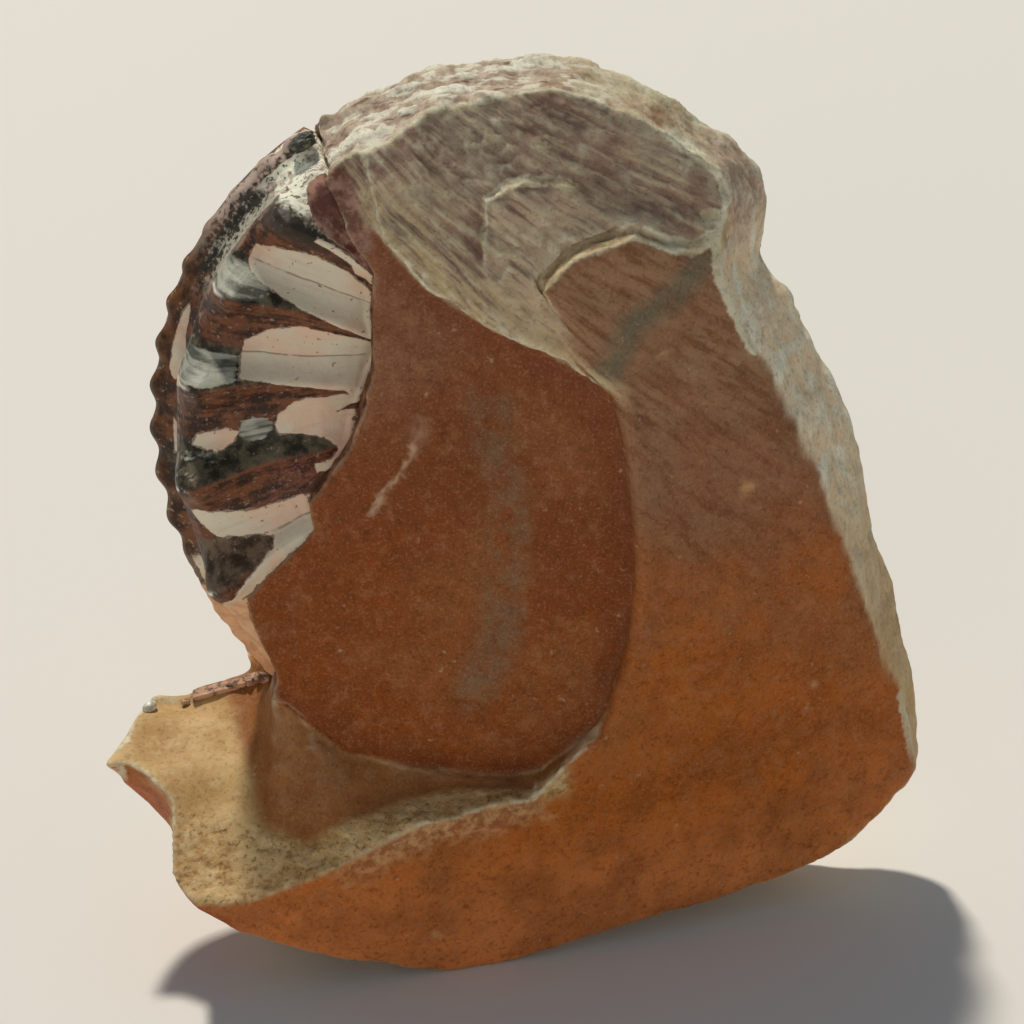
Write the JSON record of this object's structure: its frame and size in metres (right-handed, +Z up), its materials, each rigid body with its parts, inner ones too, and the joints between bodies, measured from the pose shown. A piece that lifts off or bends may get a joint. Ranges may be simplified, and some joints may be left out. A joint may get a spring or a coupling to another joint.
{
  "type": "ammonite fossil",
  "caption": "Free-standing stone nodule, broken open on a stretch of ribbed and keeled ammonite whorl with tubercles, for display on a shelf or table.",
  "frame": {"origin": "middle of the bounding box, on the plane of the base facet", "axes": "+Z up as the nodule stands, -Y out of the broken front that shows the whorl, +X to the right of someone who faces that front"},
  "size_m": [0.0804, 0.0354, 0.0908],
  "materials": {
    "stone": "worn smooth, red-brown, with a yellow-grey weathered crust",
    "shell": "mineralised shell, dark glossy ribs and chalky grey-pink hollows"
  },
  "bodies": {
    "root": {"stone_matrix": "stone", "ammonite_shell": "shell"}
  },
  "joints": []
}
